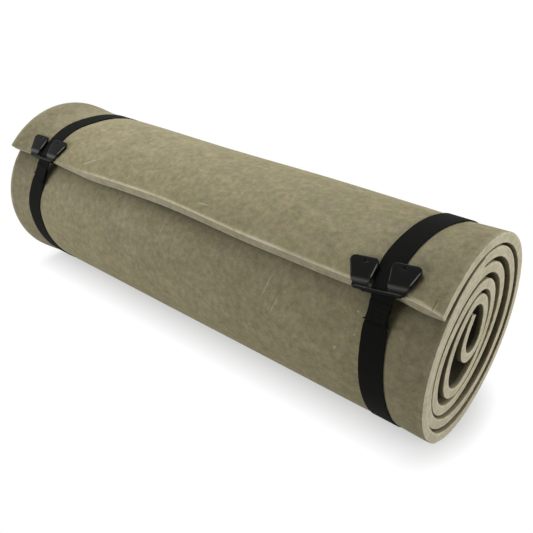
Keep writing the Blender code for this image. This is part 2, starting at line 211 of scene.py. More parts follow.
def at_lengths(values, along, wanted):
    """Values given at lengths along a line, read off at other lengths by straight interpolation."""
    columns = values.reshape(len(values), -1).T
    return np.stack([np.interp(wanted, along, column) for column in columns], axis=-1)


def smooth_step(value, low, high):
    """3 s^2 - 2 s^3, with s running from 0 at low to 1 at high."""
    s = np.clip((value - low) / (high - low), 0.0, 1.0)
    return s * s * (3.0 - 2.0 * s)


def smooth_through(table, where, column=1):
    """Smooth curve through a table's points: between two of them a cubic that has, at each, the mean
    slope of its two sides. Level beyond the first and the last."""
    places, values = table[:, 0], table[:, column]
    slopes = np.gradient(values, places)
    i = np.clip(np.searchsorted(places, where) - 1, 0, len(places) - 2)
    width = places[i + 1] - places[i]
    s = np.clip((where - places[i]) / width, 0.0, 1.0)
    first = values[i] * (1.0 + 2.0 * s) + slopes[i] * width * s
    second = values[i + 1] * (3.0 - 2.0 * s) - slopes[i + 1] * width * (1.0 - s)
    return first * (1.0 - s) ** 2 + second * s ** 2


# The winding

def gap_at(wound):
    """Gap outside a turn: a closed gap, the slit under the flap, and widest * sin(pi * s**lean)**power
    for each crescent, with s from 0 to 1 between where it opens and shuts."""
    # the slack is what the roll's radius holds beyond the core and the foam's own layers
    slack = ROLL_RADIUS - 0.5 * FOAM - CORE_RADIUS - FOAM * WOUND_TO / 360.0
    gap = CLOSED_GAP + (FLAP_GAP - CLOSED_GAP) * (1.0 - smooth_step(wound, *FLAP_GAP_CLOSES))
    for opens, shuts, share, lean in CRESCENTS:
        s = np.clip((wound - opens) / (shuts - opens), 0.0, 1.0)
        gap = gap + share * slack * np.sin(np.pi * s ** lean) ** CRESCENT_POWER
    return gap


def outer_turn_radius(wound):
    return ROLL_RADIUS - (FOAM + FLAP_GAP) * wound / 360.0


def wound_line():
    """Middle line of the foam from a little before the flap to the end of the tail, and how far each
    point is wound in. Every turn is the turn outside it, moved square to itself by foam and gap."""
    per_turn = round(360.0 / WIND_STEP)
    wound = np.arange(-STEPS_BEFORE_CUT * WIND_STEP, WOUND_TO + 0.5 * WIND_STEP, WIND_STEP)
    first = wound[:STEPS_BEFORE_CUT + per_turn + 1]
    line = (outer_turn_radius(first) - 0.5 * FOAM)[:, None] * direction(FLAP_ANGLE - first)
    while len(line) < len(wound):
        new = np.arange(len(line), min(len(line) + per_turn - 2, len(wound)))
        along = line[new - per_turn + 1] - line[new - per_turn - 1]
        inward = -left_of(unit(along))
        line = np.vstack([line, line[new - per_turn] + inward * (FOAM + gap_at(wound[new]))[:, None]])
    # the tail: its bend runs evenly from one radius to the next along each stretch
    share = (np.arange(TAIL_STEPS) + 0.5) / TAIL_STEPS
    steps = np.repeat([length * CORE_RADIUS / TAIL_STEPS for length, _, _ in TAIL], TAIL_STEPS)
    bends = np.concatenate([1.0 / a + (1.0 / b - 1.0 / a) * share for _, a, b in TAIL]) / CORE_RADIUS
    along = line[-1] - line[-4]
    heading = math.atan2(along[1], along[0]) - np.cumsum(bends * steps)
    strides = steps[:, None] * np.stack([np.cos(heading), np.sin(heading)], axis=-1)
    tail_wound = WOUND_TO + np.degrees(np.cumsum(steps) / CORE_RADIUS)
    return np.vstack([line, line[-1] + np.cumsum(strides, axis=0)]), np.concatenate([wound, tail_wound])


# Meshes

WELD = 1e-6


def loop_faces(rows, columns):
    """Quads between closed rows of points that are numbered row by row."""
    first, c = np.meshgrid(np.arange(rows - 1) * columns, np.arange(columns), indexing="ij")
    second, after = first + columns, (c + 1) % columns
    return np.stack([first + c, first + after, second + after, second + c], axis=-1).reshape(-1, 4)


def give_values(mesh, name, values):
    """A number for each of a mesh's points, for its finish to read."""
    attribute = mesh.attributes.new(name, "FLOAT", "POINT")
    attribute.data.foreach_set("value", np.asarray(values, dtype=np.float32).ravel())


def mesh_object(name, points, faces, uv=None, values=None, closed=True):
    """Object from arrays: points, faces, and per point a UV pair and named numbers. A closed shape is
    welded where its points meet, faces outwards and is shaded smooth."""
    mesh = bpy.data.meshes.new(name)
    mesh.from_pydata(np.asarray(points, dtype=float).tolist(), [], np.asarray(faces).tolist())
    if uv is not None:
        layer = mesh.uv_layers.new(name="UVMap")
        corner = np.empty(len(mesh.loops), dtype=np.int32)
        mesh.loops.foreach_get("vertex_index", corner)
        layer.data.foreach_set("uv", np.asarray(uv, dtype=np.float32)[corner].ravel())
    for key, value in (values or {}).items():
        give_values(mesh, key, value)
    if closed:
        work = bmesh.new()
        work.from_mesh(mesh)
        bmesh.ops.remove_doubles(work, verts=work.verts, dist=WELD)
        bmesh.ops.recalc_face_normals(work, faces=work.faces)
        work.to_mesh(mesh)
        work.free()
        mesh.shade_smooth()
    obj = bpy.data.objects.new(name, mesh)
    bpy.context.scene.collection.objects.link(obj)
    return obj


def joined(shapes):
    """One list of points and one of faces from several closed shapes."""
    starts = np.cumsum([0] + [len(points) for points, _ in shapes])
    faces = [faces + start for (_, faces), start in zip(shapes, starts)]
    return np.vstack([points for points, _ in shapes]), np.vstack(faces)


def with_ends(values):
    """The first and the last value once more, for the rows that close a carried shape."""
    return np.concatenate([values[:1], values, values[-1:]])


def carried(path, side, up, section, sizes):
    """A closed outline carried along a path: point = path + side * u + up * v for each (u, v) of the
    outline, times a pair of sizes for each station, and both ends close on the path."""
    sizes = np.vstack([np.zeros((1, 2)), sizes, np.zeros((1, 2))])
    u = section[None, :, 0] * sizes[:, :1]
    v = section[None, :, 1] * sizes[:, 1:]
    points = with_ends(path)[:, None] + with_ends(side)[:, None] * u[..., None]
    points = points + with_ends(up)[:, None] * v[..., None]
    return points.reshape(-1, 3), loop_faces(len(points), len(section))


def tube(path, radius, sides):
    """Round bar with domed ends along a path, its sides square to the axis that the path follows least."""
    along = tangents(path)
    least = np.eye(3)[np.abs(along.mean(axis=0)).argmin()]
    side = unit(np.cross(along, least))
    length = arc_lengths(path)
    from_end = np.minimum(length, length[-1] - length) / radius
    dome = np.sqrt(1.0 - (1.0 - np.clip(from_end, 0.02, 1.0)) ** 2)
    ring = direction(np.linspace(0.0, 360.0, sides, endpoint=False)) * radius
    return carried(path, side, np.cross(side, along), ring, np.column_stack([dome, dome]))


def straight(start, end, count=24):
    """Points of a straight line, closer together at its ends, where a bar is domed."""
    share = 0.5 - 0.5 * np.cos(np.linspace(0.0, np.pi, count))
    return np.asarray(start) + share[:, None] * (np.asarray(end) - np.asarray(start))


def round_box(width, height, radius, per_corner):
    """Outline of a rectangle with round corners, about its middle."""
    half = np.array([0.5 * width - radius, 0.5 * height - radius])
    arc = np.linspace(0.0, 90.0, per_corner)
    signs = np.array([(1, 1), (-1, 1), (-1, -1), (1, -1)])
    return np.vstack([sign * half + radius * direction(90.0 * k + arc) for k, sign in enumerate(signs)])


# Shader nodes written as expressions

class Value:
    """A socket that carries a number: arithmetic on it adds Math nodes."""

    def __init__(self, shader, socket):
        self.shader = shader
        self.socket = socket

    def math(self, operation, *others):
        made = self.shader.node("ShaderNodeMath", {"operation": operation}, self, *others)
        return Value(self.shader, made.outputs[0])

    def __add__(self, other):
        return self.math("ADD", other)

    def __sub__(self, other):
        return self.math("SUBTRACT", other)

    def __mul__(self, other):
        return self.math("MULTIPLY", other)

    def __truediv__(self, other):
        return self.math("DIVIDE", other)


class Finish:
    """One material: the shader, and short ways to add the nodes that feed it."""

    def __init__(self, name):
        self.material = bpy.data.materials.new(name)
        self.material.use_nodes = True
        self.tree = self.material.node_tree
        self.principled = self.tree.nodes["Principled BSDF"]

    def node(self, kind, settings=None, *values, **named):
        """A new node, its settings, and what feeds its inputs by number or by name."""
        made = self.tree.nodes.new(kind)
        for key, value in (settings or {}).items():
            setattr(made, key, value)
        for key, value in [*enumerate(values), *named.items()]:
            self.feed(made.inputs[key], value)
        return made

    def feed(self, socket, value):
        if isinstance(value, Value):
            value = value.socket
        if isinstance(value, bpy.types.NodeSocket):
            self.tree.links.new(value, socket)
        else:
            socket.default_value = value

    def value(self, socket):
        return Value(self, socket)

    def attribute(self, name):
        return self.value(self.node("ShaderNodeAttribute", {"attribute_name": name}).outputs["Fac"])

    def place(self, scale=(1.0, 1.0, 1.0), source="Object"):
        where = self.node("ShaderNodeTexCoord").outputs[source]
        return self.node("ShaderNodeMapping", Vector=where, Scale=scale).outputs[0]

    def axes(self, source="UV"):
        apart = self.node("ShaderNodeSeparateXYZ", {}, self.node("ShaderNodeTexCoord").outputs[source])
        return self.value(apart.outputs[0]), self.value(apart.outputs[1])

    def noise(self, where, scale, detail, roughness=0.55, distortion=0.0):
        made = self.node("ShaderNodeTexNoise", Vector=where, Scale=scale, Detail=detail, Roughness=roughness,
                         Distortion=distortion)
        return self.value(made.outputs["Fac"])

    def ramp(self, value, *stops):
        """A level that runs straight from the first stop to the second. A stop is a place and its level."""
        made = self.node("ShaderNodeValToRGB", {}, value)
        for element, (place, level) in zip(made.color_ramp.elements, stops):
            element.position = place
            element.color = (level, level, level, 1.0)
        return self.value(made.outputs["Color"])

    def stroke(self, u, v, middle, half_length, half_width, angle):
        """Soft mark on the sheet: exp(-(along / half_length)^4 - (across / half_width)^2)."""
        turn = math.radians(angle)
        du = u - middle[0]
        dv = v - middle[1]
        along = (du * math.cos(turn) + dv * math.sin(turn)) / half_length
        across = (dv * math.cos(turn) - du * math.sin(turn)) / half_width
        along = along * along
        return (along * along + across * across).math("MULTIPLY", -1.0).math("EXPONENT")

    def mix(self, factor, first, second, blend="MIX"):
        made = self.node("ShaderNodeMix", {"data_type": "RGBA", "blend_type": blend})
        for slot, value in ((0, factor), (6, first), (7, second)):
            self.feed(made.inputs[slot], (*value, 1.0) if isinstance(value, tuple) else value)
        return made.outputs[2]

    def bump(self, height, depth, strength, under=None):
        made = self.node("ShaderNodeBump", Strength=strength, Distance=depth, Height=height)
        if under is not None:
            self.feed(made.inputs["Normal"], under)
        return made.outputs["Normal"]

    def set(self, **sockets):
        for key, value in sockets.items():
            self.feed(self.principled.inputs[key.replace("_", " ")], value)
        return self.material


# Finishes

SKIN = (0.354, 0.313, 0.177)
SKIN_DARK = (0.232, 0.204, 0.110)
SKIN_GREEN = (0.290, 0.280, 0.146)
SKIN_WARM = (0.338, 0.276, 0.186)
SKIN_PALE = (0.430, 0.388, 0.262)
# painted shade: the colours of faces inside the roll, and darkest in its core
PAINTED_SHADE_INSIDE = (0.078, 0.069, 0.042)
PAINTED_SHADE_CORE = (0.030, 0.027, 0.018)
# painted shade, multiplied in towards the roll's ends
END_SHADE_TINT = (0.66, 0.66, 0.66)
CUT_FACE = (0.385, 0.344, 0.232)
CUT_PALE = (0.470, 0.428, 0.310)
# the edges' colour: rubbed paler, with a painted highlight
EDGE_WEAR_AND_HIGHLIGHT = (0.780, 0.720, 0.490)
SCUFF = (0.520, 0.476, 0.335)
CREASE = (0.150, 0.132, 0.080)
WEATHER_DARK = (0.20, 0.20, 0.20)
WEATHER_PALE = (0.80, 0.80, 0.80)

# Marks of use on the foam: place along the roll, angle round it, half-length, half-width, lean, strength

PALE_MARKS = (
    (-0.155, 129.8, 0.0100, 0.0011, 35.0, 0.75),
    (0.030, 129.3, 0.0065, 0.0009, 5.0, 0.55),
    (-0.138, 104.8, 0.0055, 0.0009, 40.0, 0.50),
    (0.225, 151.2, 0.0012, 0.0009, 0.0, 0.90),
    (0.2116, 174.7, 0.0016, 0.0010, 60.0, 0.90),
    (0.2281, 163.2, 0.0010, 0.0008, 0.0, 0.80),
    (0.272, 135.6, 0.0110, 0.0010, -4.0, 0.45),
    (0.128, 158.0, 0.0130, 0.0012, 78.0, 0.30),
    (0.140, 168.0, 0.0110, 0.0010, 70.0, 0.22),
    (-0.060, 121.0, 0.0120, 0.0013, 24.0, 0.22),
    (0.048, 117.0, 0.0140, 0.0014, 12.0, 0.22),
    (-0.020, 152.0, 0.0100, 0.0012, 80.0, 0.20),
)
DARK_MARKS = (
    (-0.162, 136.6, 0.0010, 0.0008, 0.0, 0.70),
    (-0.178, 136.4, 0.0012, 0.0007, 20.0, 0.45),
    (0.2925, 131.4, 0.0040, 0.0005, 4.0, 0.35),
    (0.2905, 135.6, 0.0050, 0.0006, 84.0, 0.45),
)


def foam_colour(foam, solid, broad, speckle):
    """The skin: mottled, greener or warmer in places, rubbed paler here and there, with painted shade towards
    the ends and inside the roll. Then the paler cut faces, and their rubbed edges with a painted highlight."""
    sheet = foam.place(source="UV")
    patches = foam.noise(foam.place((1.0, 1.6, 1.0), "UV"), 42.0, 4.0, 0.6, 0.7)
    tone = foam.ramp(broad * 0.30 + patches * 0.45 + speckle * 0.25, (0.39, 0.0), (0.61, 1.0))
    skin = foam.mix(tone, SKIN_DARK, SKIN)
    hue = foam.ramp(foam.noise(sheet, 75.0, 3.0, 0.6), (0.40, 0.0), (0.60, 1.0))
    skin = foam.mix(0.34, skin, foam.mix(hue, SKIN_GREEN, SKIN_WARM))
    rubbed = foam.ramp(foam.noise(sheet, 16.0, 7.0, 0.70, 1.6), (0.52, 0.0), (0.68, 1.0))
    skin = foam.mix(rubbed * 0.34, skin, SKIN_PALE)
    # painted shade towards the roll's ends
    skin = foam.mix(foam.attribute("painted_end_shade") * 0.9, skin, END_SHADE_TINT, "MULTIPLY")
    # painted shade on faces inside the roll and beside the flap's end, darkest towards the core
    inside = foam.attribute("inside")
    deep = foam.mix(foam.ramp(inside, (0.80, 0.0), (1.0, 1.0)), PAINTED_SHADE_INSIDE, PAINTED_SHADE_CORE)
    skin = foam.mix(inside, skin, deep)
    faces = foam.ramp(foam.noise(solid, 46.0, 4.0, 0.6), (0.36, 0.0), (0.66, 1.0))
    colour = foam.mix(foam.attribute("cut"), skin, foam.mix(faces, CUT_FACE, CUT_PALE))
    # paler edges: partly rubbed, partly a painted highlight
    edge_patchiness = foam.ramp(foam.noise(solid, 34.0, 4.0, 0.6), (0.30, 0.55), (0.62, 1.0))
    return foam.mix(foam.attribute("edge_wear_and_highlight") * edge_patchiness, colour, EDGE_WEAR_AND_HIGHLIGHT)


def marked_colour(foam, colour, sheet_length):
    """The colour under the marks of use, and a mask of all the marks."""
    u, v = foam.axes()
    masks = []
    for marks, paint in ((PALE_MARKS, SCUFF), (DARK_MARKS, CREASE)):
        for x, angle, half_length, half_width, lean, strength in marks:
            mask = foam.stroke(u, v, (x, sheet_length(angle)), half_length, half_width, lean)
            colour = foam.mix(mask * strength, colour, paint)
            masks.append(mask)
    return colour, sum(masks[1:], masks[0])


def foam_finish(sheet_length):
    """Closed-cell foam: a mottled skin, paler cut faces, a few marks of use, soft dents and fine cells.
    sheet_length turns an angle round the roll into the length along the sheet where it shows."""
    foam = Finish("foam_skin")
    solid = foam.place()
    broad = foam.noise(solid, 11.0, 3.0, 0.55, 0.3)
    speckle = foam.noise(solid, 170.0, 3.0, 0.6)
    grain = foam.noise(solid, 900.0, 2.0, 0.6)
    colour, dent = marked_colour(foam, foam_colour(foam, solid, broad, speckle), sheet_length)
    weathered = foam.ramp(grain * 0.5 + speckle * 0.5, (0.34, 0.0), (0.66, 1.0))
    colour = foam.mix(0.34, colour, foam.mix(weathered, WEATHER_DARK, WEATHER_PALE), "OVERLAY")
    dents = foam.noise(foam.place(source="UV"), 30.0, 3.0, 0.5, 0.3)
    cells = foam.noise(solid, 1400.0, 2.0, 0.5)
    normal = foam.bump(dents, 0.0014, 0.50)
    normal = foam.bump(dent * -1.0, 0.0006, 0.6, normal)
    normal = foam.bump(cells * 0.6 + grain * 0.4, 0.00022, 0.35, normal)
    roughness = broad * 0.18 + 0.64
    return foam.set(Base_Color=colour, Normal=normal, Roughness=roughness, Specular_IOR_Level=0.28)


RIB_SPACING = 0.0011
WEFT_SPACING = 0.0009
STRAND_SPACING = 0.0008


def wave(value, spacing, shift=0.0):
    """A sine between 0 and 1 of a length, with one wave to a spacing, shifted by an angle."""
    return (value * (2.0 * math.pi / spacing) + shift).math("SINE") * 0.5 + 0.5


def elastic_finish():
    """Woven elastic: fine lengthwise ribs crossed by the weft, black with a little grey lint."""
    tape = Finish("woven_elastic")
    across, along = tape.axes()
    ribs = wave(across, RIB_SPACING)
    weft = wave(along, WEFT_SPACING, (across * (math.pi / RIB_SPACING)).math("SINE") * 1.5)
    lint = tape.ramp(tape.noise(tape.place(), 340.0, 4.0, 0.7), (0.58, 0.0), (0.82, 1.0))
    colour = tape.mix(ribs * weft, (0.0070, 0.0070, 0.0066), (0.0165, 0.0163, 0.0150))
    colour = tape.mix(lint * 0.18, colour, (0.040, 0.038, 0.034))
    normal = tape.bump(ribs * 0.7 + weft * 0.3, 0.00020, 0.8)
    return tape.set(Base_Color=colour, Normal=normal, Roughness=0.85, Specular_IOR_Level=0.05)


def plastic_finish():
    """Moulded plastic: black, slightly glossy, with a painted highlight on the wings' edges and feet, finely
    grained, faintly scuffed.
    """
    plastic = Finish("moulded_plastic")
    streaks = plastic.noise(plastic.place((1.0, 6.0, 6.0)), 90.0, 5.0, 0.7)
    scuffs = plastic.ramp(streaks, (0.52, 0.0), (0.75, 1.0))
    colour = plastic.mix(scuffs * 0.4, (0.0058, 0.0058, 0.0054), (0.0155, 0.0155, 0.0145))
    # painted highlight along the wings' edges and across their feet
    colour = plastic.mix(plastic.attribute("painted_highlight"), colour, (0.300, 0.300, 0.288))
    normal = plastic.bump(plastic.noise(plastic.place(), 1500.0, 2.0), 0.0001, 0.25)
    roughness = scuffs * 0.20 + 0.35
    return plastic.set(Base_Color=colour, Normal=normal, Roughness=roughness, Specular_IOR_Level=0.08)


def thread_finish():
    """Twisted polyester thread: fine bands that climb along it."""
    thread = Finish("sewing_thread")
    around, along = thread.axes()
    strand = wave(along, STRAND_SPACING, around * (2.0 * math.pi))
    colour = thread.mix(strand, (0.004, 0.004, 0.0042), (0.012, 0.012, 0.012))
    normal = thread.bump(strand, 0.0001, 0.5)
    return thread.set(Base_Color=colour, Normal=normal, Roughness=0.60, Specular_IOR_Level=0.12)


# The foam mat

ROUNDING = 0.0009
X_STATIONS = 88
MAT_STATIONS = 430
CUT_ROWS = 6
FLAP_REACH = 0.030
FLAP_ROWS = 14

# Each cut end is flat to this share of the thickness, and then rounded: length from the end, share kept

CLOSED_TO = 0.84
END_ROUNDING = np.array([(0.00015, 0.920), (0.00050, 0.972), (0.00110, 1.0)])

# Rubbed edges with a painted highlight: how far in each one shows, and where along the roll the flap's pale
# edge sets in

RIM_REACH = 0.0016
UPPER_EDGE_REACH = 0.0014
LOWER_EDGE_REACH = 0.0006
EDGE_PALE_SETS_IN = (-0.24, -0.10)

# Degrees wound in where the foam goes under the flap's end, and where the painted shade darkens towards the
# core

UNDER_FLAP = 356.6
CORE_DARKENS = (1100.0, 1450.0)

# How dark the painted shade at each end is: at least, and how much more at most

NEAR_END_SHADE = (0.18, 0.42)
FAR_END_SHADE = (0.63, 0.33)
END_SHADE_SPAN = (0.205, 0.290)


def sheet_profile():
    """Loop round the sheet's own cross-section, seen along its length: x across the width and level
    through the thickness, with rounded corners at both cut ends."""
    t = np.linspace(-1.0, 1.0, X_STATIONS)
    spread = 0.62 * t + 0.38 * np.sin(0.5 * np.pi * t)
    half = 0.5 * MAT_WIDTH
    x = spread / spread.max() * (half - ROUNDING)
    turn = np.radians(np.linspace(90.0, 0.0, 4))
    corner_x = half - ROUNDING + ROUNDING * np.cos(turn)
    corner_level = 0.5 * FOAM - ROUNDING + ROUNDING * np.sin(turn)
    levels = np.linspace(corner_level[-1], -corner_level[-1], 5)[1:-1]
    end_x = np.concatenate([corner_x[1:], np.full(len(levels), half), corner_x[:0:-1]])
    end_level = np.concatenate([corner_level[1:], levels, -corner_level[:0:-1]])
    face = np.full(X_STATIONS, 0.5 * FOAM)
    loop_x = np.concatenate([x, end_x, x[::-1], -end_x[::-1]])
    loop_level = np.concatenate([face, end_level, -face, end_level[::-1]])
    return loop_x, loop_level


def sheet_rows(total):
    """Lengths along the sheet, and how much of its thickness each keeps as its two ends close."""
    closing = np.linspace(0.0, CLOSED_TO, CUT_ROWS)
    in_from_end, rounding = END_ROUNDING.T
    flap = np.linspace(0.0025, FLAP_REACH, FLAP_ROWS)
    rest = np.linspace(FLAP_REACH, total - 0.0030, MAT_STATIONS)[1:]
    s = np.concatenate([np.zeros(CUT_ROWS), in_from_end, flap, rest, total - in_from_end[::-1],
                        np.full(CUT_ROWS, total)])
    keep = np.concatenate([closing, rounding, np.ones(len(flap) + len(rest)), rounding[::-1], closing[::-1]])
    return s, keep


def past_even_cut(x, level):
    """How far the flap's end reaches past its even cut: a wavering line for the upper edge, another for
    the lower, and straight from one to the other."""
    middle_radius = ROLL_RADIUS - 0.5 * FOAM
    upper, lower = (np.radians(smooth_through(FLAP_EDGE, x, k) - FLAP_ANGLE) * middle_radius for k in (1, 2))
    return lower + (upper - lower) * (0.5 + level / FOAM)


def strap_middle(key, angle):
    """Where a strap's middle lies along the roll, at an angle round it."""
    first = STRAP_WANDER[key][0, 0]
    return smooth_through(STRAP_WANDER[key], (angle - first) % 360.0 + first)


def roll_swell(x, angle, radius):
    """How far the foam stands out from the even roll, between the straps and at the flared ends."""
    swell = np.full_like(x, FOAM_SWELL)
    for key in STRAP_WANDER:
        away = x - strap_middle(key, angle)
        swell = swell - FOAM_SWELL * np.exp(-(away / SQUEEZE_WIDTH) ** 2)
    swell = swell + FAR_FLARE * smooth_step(-x, *FAR_FLARE_SPAN)
    swell = swell + NEAR_FLARE * smooth_step(x, *NEAR_FLARE_SPAN)
    return swell * np.clip(radius / ROLL_RADIUS, 0.0, 1.0)


def end_shift(x, turned, radius):
    """How far the foam is moved along the roll. Both ends are dished, some inner turns more than others.
    At the near end the flap is drawn back, and the turn under its end stands out."""
    recess = -END_DISH * (ROLL_RADIUS - radius)
    recess = recess - TURN_STAGGER * np.sin(turned / 47.0) * (radius < STAGGER_WITHIN)
    drawn = FLAP_DRAWN_BACK * (1.0 - smooth_step(turned, 40.0, 110.0))
    drawn = (drawn - TURN_STANDS_OUT * smooth_step(turned, 200.0, 330.0)) * (turned < 400.0)
    share = 0.5 + x / MAT_WIDTH
    return (recess - drawn) * share ** 3 - FAR_DISH_SHARE * recess * (1.0 - share) ** 3


def surface_lift(x, turned):
    """How far the foam is moved square to itself: the flap's corners lift, and the outer turn ripples."""
    corner = CORNER_LIFT * np.exp(-(turned + 8.0) / 11.0) * np.abs(2.0 * x / MAT_WIDTH) ** 8
    ripple = RIPPLE * np.sin(x * 23.0 + turned / 31.0) * np.sin(turned / 19.0 + 1.3)
    return corner * (turned < 200.0) + ripple * (turned < 330.0)


def sheet_masks(x, s, level, keep, turned):
    """Masks for the finish: the cut faces, the rubbed edges with a painted highlight, and painted shade
    inside the roll and at the ends.
    """
    from_end = 0.5 * MAT_WIDTH - np.abs(x)
    cut = np.maximum((from_end < 0.35 * ROUNDING) * 1.0, 0.75 * (keep < 0.9))
    rim = np.exp(-(from_end / RIM_REACH) ** 2) * (np.abs(level) > 0.4 * FOAM)
    upper = np.exp(-(s / UPPER_EDGE_REACH) ** 2) * (level > 0.36 * FOAM)
    lower = 0.5 * np.exp(-s / LOWER_EDGE_REACH) * (level < -0.36 * FOAM)
    edge_wear_and_highlight = np.clip(0.25 * rim + (upper + lower) * smooth_step(x, *EDGE_PALE_SETS_IN), 0.0, 1.0)
    # painted shade on faces that lie against another turn, and beside the flap's end, where it deepens the
    # real shadow
    outer_face, inner_face = level > 0.3 * FOAM, level < -0.3 * FOAM
    wrapped = np.maximum(inner_face * smooth_step(turned, 0.0, 4.0),
                         outer_face * smooth_step(turned, UNDER_FLAP, UNDER_FLAP + 2.4))
    before_flap = np.exp((np.minimum(turned, UNDER_FLAP) - UNDER_FLAP) / 4.0)
    shaded = 0.50 * outer_face * (turned < 362.0) * before_flap
    depth = 0.80 + 0.20 * smooth_step(turned, *CORE_DARKENS)
    inside = np.maximum(depth * wrapped, shaded) * smooth_step(from_end, 0.0002, 0.0030)
    # painted shade: the near end is darkest on the flap's side and the far end on top
    angle = np.radians(FLAP_ANGLE - turned)
    near = NEAR_END_SHADE[0] + NEAR_END_SHADE[1] * smooth_step(-np.cos(angle), -0.10, 0.75)
    far = FAR_END_SHADE[0] + FAR_END_SHADE[1] * np.maximum(np.sin(angle), 0.0)
    painted_end_shade = smooth_step(np.abs(x), *END_SHADE_SPAN) * np.where(x > 0.0, near, far)
    return {"cut": cut, "edge_wear_and_highlight": edge_wear_and_highlight, "inside": inside, "painted_end_shade": painted_end_shade}


def build_mat():
    """The sheet's cross-section carried along the winding, and moved as the real foam departs from it."""
    line, wound = wound_line()
    along = arc_lengths(line)
    along -= along[STEPS_BEFORE_CUT]
    s, keep = sheet_rows(along[-1])
    loop_x, loop_level = sheet_profile()
    s_grid, x_grid = np.meshgrid(s, loop_x, indexing="ij")
    level = loop_level[None, :] * keep[:, None]
    s_used = s_grid - past_even_cut(loop_x, level) * np.exp(-s_grid / FLAP_REACH)

    def on_sheet(values):
        return at_lengths(values, along, s_used.ravel()).reshape(*s_used.shape, -1)

    def shown_at(angle):
        return float(np.interp((FLAP_ANGLE - angle) % 360.0, wound, along))

    middle = on_sheet(line)
    normal = unit(on_sheet(left_of(tangents(line))))
    radius = on_sheet(np.linalg.norm(line, axis=1))[..., 0]
    turned = on_sheet(wound)[..., 0]
    swell = roll_swell(x_grid, FLAP_ANGLE - turned, radius)
    yz = middle + normal * level[..., None] + unit(middle) * swell[..., None]
    yz = yz + normal * surface_lift(x_grid, turned)[..., None] + ROLL_AXIS
    x = x_grid + end_shift(x_grid, turned, radius)
    points = np.stack([x, yz[..., 0], np.maximum(yz[..., 1], LOWEST)], axis=-1)
    mat = mesh_object("foam_roll", points.reshape(-1, 3), loop_faces(*s_grid.shape),
                      np.stack([x_grid, s_used], axis=-1).reshape(-1, 2),
                      sheet_masks(x_grid, s_grid, level, keep[:, None], turned))
    mat.data.materials.append(foam_finish(shown_at))
    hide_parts("foam_mat")
    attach(mat, "mat")


# The elastic straps

STRAP_STEP = 0.0022
STRAP_STEP_FINE = 0.0008
FINE_ZONE = 0.045
TAPE_ROUNDING = 0.00045
PUCKER = 0.00012
PUCKER_LENGTH = 0.0043


def rear_bar_centre():
    """The bar behind a strap lies on the flap's cut face."""
    down_cut = direction(FLAP_ANGLE + 90.0 + FLAP_CUT)
    corner = ROLL_RADIUS * direction(FLAP_ANGLE)
    return corner + down_cut * BAR_FROM_EDGE - left_of(down_cut) * (BAR_RADIUS + CLIP_CLEARANCE)


def strap_round():
    """Middle line of a strap once round, from the rear bar on and anticlockwise: the furthest point of
    roll and bar in each direction, moved out along it. Also the line's outward directions."""
    wound = np.arange(0.0, 361.0)
    turn = outer_turn_radius(wound)[:, None] * direction(FLAP_ANGLE - wound)
    turn[:, 1] = np.maximum(turn[:, 1], STRAP_THICKNESS + STRAP_CLEARANCE - ROLL_AXIS[1])
    cloud = np.vstack([turn, rear_bar_centre() + BAR_RADIUS * direction(np.arange(0.0, 360.0, 10.0))])
    facing = direction(np.arange(0.0, 360.0, 0.5))
    line = cloud[(facing @ cloud.T).argmax(axis=1)] + (STRAP_CLEARANCE + 0.5 * STRAP_THICKNESS) * facing
    first = np.linalg.norm(line - rear_bar_centre(), axis=1).argmin()
    order = np.concatenate([np.arange(first, len(line)), np.arange(first + 1)])
    return line[order], facing[order]


def length_round():
    return arc_lengths(strap_round()[0])[-1]


def strap_stations(key, past_bar):
    """Points on a strap's middle line at lengths past the rear bar, with its directions across,
    outwards and along. Past one whole turn the strap lies on its own first end."""
    once, facing = strap_round()
    lengths = arc_lengths(once)
    yz = at_lengths(once, lengths, past_bar % lengths[-1])
    out = unit(at_lengths(facing, lengths, past_bar % lengths[-1]))
    middle = strap_middle(key, np.degrees(np.arctan2(yz[:, 1], yz[:, 0])))
    risen = smooth_step(past_bar - lengths[-1], OVERLAP_FROM - OVERLAP_RISE, OVERLAP_FROM - RISE_CLEAR)
    yz = yz + out * ((STRAP_THICKNESS + STRAP_CLEARANCE) * risen)[:, None] + ROLL_AXIS
    points = np.column_stack([middle, yz])
    along = tangents(points)
    outward = np.column_stack([np.zeros(len(out)), out])
    outward = unit(outward - along * (outward * along).sum(axis=1, keepdims=True))
    return points, np.cross(along, outward), outward, along


def strap_width(past_bar):
    around = length_round()
    near_bar = (past_bar + 0.5 * around) % around - 0.5 * around
    return smooth_through(STRAP_SPREAD, near_bar)


def build_strap(key, finish):
    """Flat tape of varying width: a rounded rectangle carried from its inner end once round the roll
    and over that end again, with a slight pucker where it is sewn. Both ends are cut square."""
    around = length_round()
    end = around + OVERLAP_TO
    past_bar = np.concatenate([np.arange(OVERLAP_FROM, around - FINE_ZONE, STRAP_STEP),
                               np.arange(around - FINE_ZONE, end, STRAP_STEP_FINE), [end]])
    points, across, outward, _ = strap_stations(key, past_bar)
    width = strap_width(past_bar)
    sewn = smooth_step(past_bar - around, 0.006, 0.012)
    pucker = PUCKER * sewn * np.sin(past_bar * 2.0 * math.pi / PUCKER_LENGTH)
    section = round_box(1.0, STRAP_THICKNESS, TAPE_ROUNDING, 4)
    shape = carried(points + outward * pucker[:, None], across, outward, section,
                    np.column_stack([width, np.ones(len(width))]))
    u = section[None, :, 0] * np.concatenate([[0.0], width, [0.0]])[:, None]
    v = np.repeat(with_ends(past_bar), len(section))
    strap = mesh_object(key + "_elastic", *shape, np.column_stack([u.ravel(), v]))
    strap.data.set_sharp_from_angle(angle=math.radians(50.0))
    strap.data.materials.append(finish)
    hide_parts(key + "_strap")
    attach(strap, key + "_strap_body")


STITCH_POINTS = 161
STITCH_SQUARENESS = 7.0
THREAD_SIDES = 8
THREAD_PROUD = 0.35


